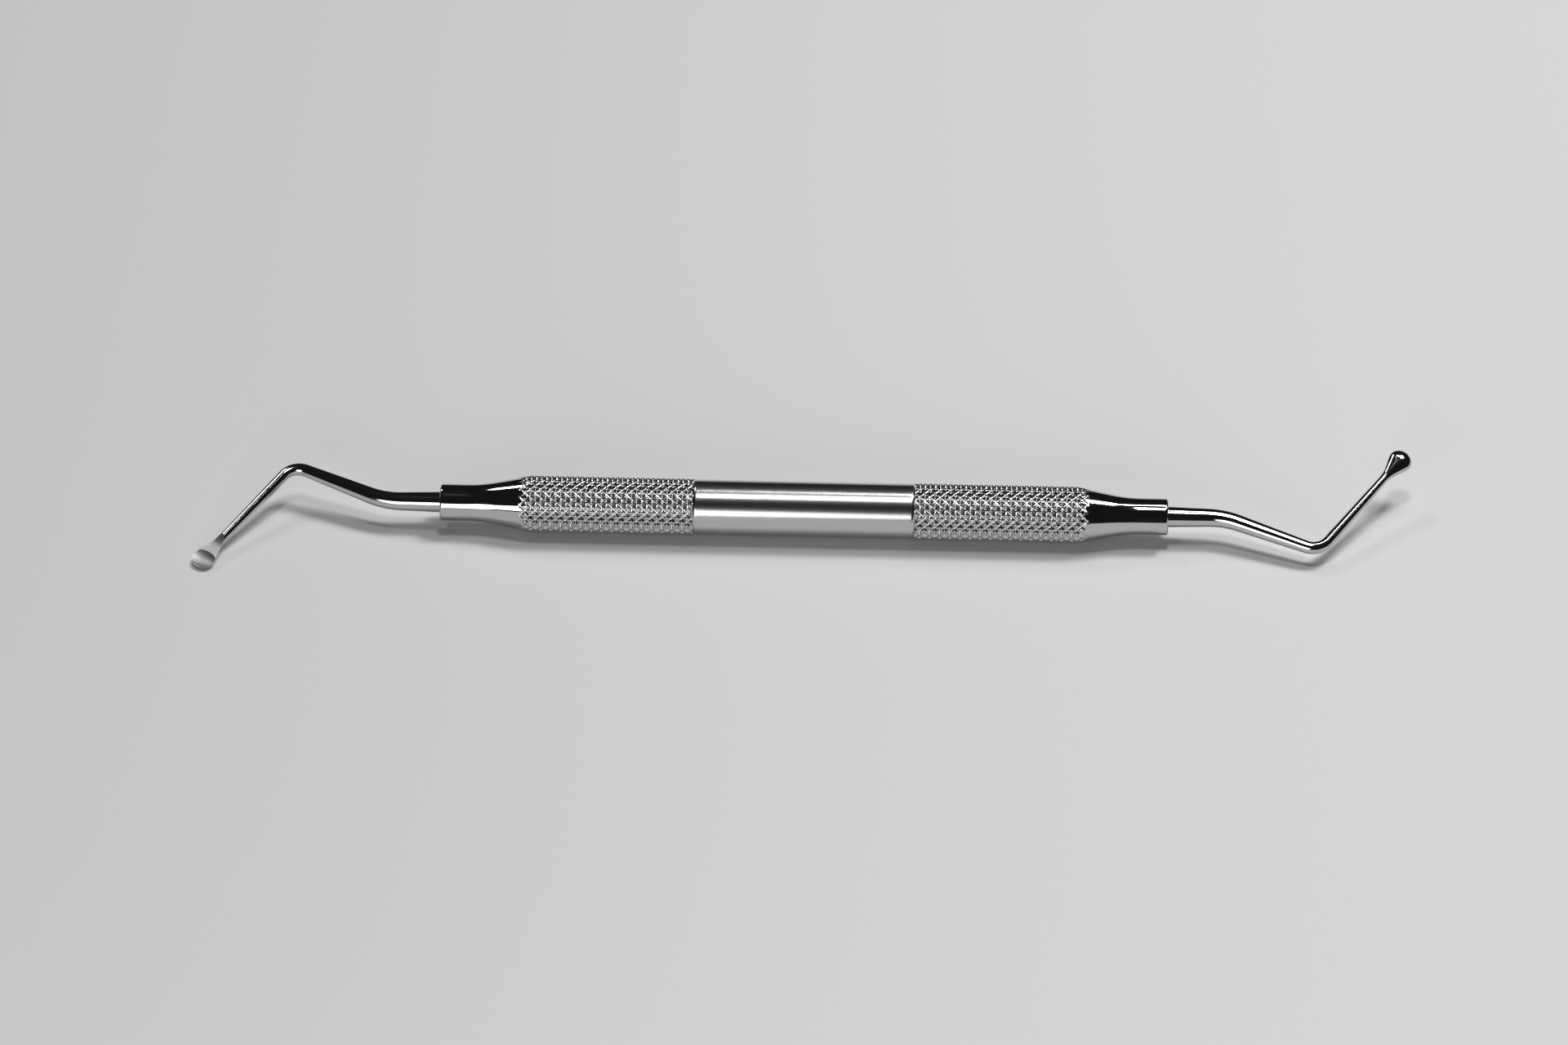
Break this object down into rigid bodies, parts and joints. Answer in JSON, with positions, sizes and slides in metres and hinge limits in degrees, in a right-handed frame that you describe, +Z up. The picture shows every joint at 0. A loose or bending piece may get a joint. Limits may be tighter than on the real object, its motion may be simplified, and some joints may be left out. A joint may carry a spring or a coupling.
{
  "type": "bone curette",
  "caption": "Double-ended bone curette: knurled round handle with a bent, tapered shank and a small spoon at each end, for scraping bone and soft tissue.",
  "frame": {"origin": "on the floor, under the middle of the handle", "axes": "+X along the handle towards the right-hand tip, +Y away from the viewer, +Z up from the floor it lies on"},
  "size_m": [0.1754, 0.0237, 0.0081],
  "materials": {
    "handle_steel": "bright turned steel with a satin grip and crisp diamond knurl",
    "tip_steel": "mirror polished shank and spoon back, satin ground spoon face"
  },
  "bodies": {
    "root": {"handle": "handle_steel", "left_curette": "tip_steel", "right_curette": "tip_steel"}
  },
  "joints": []
}
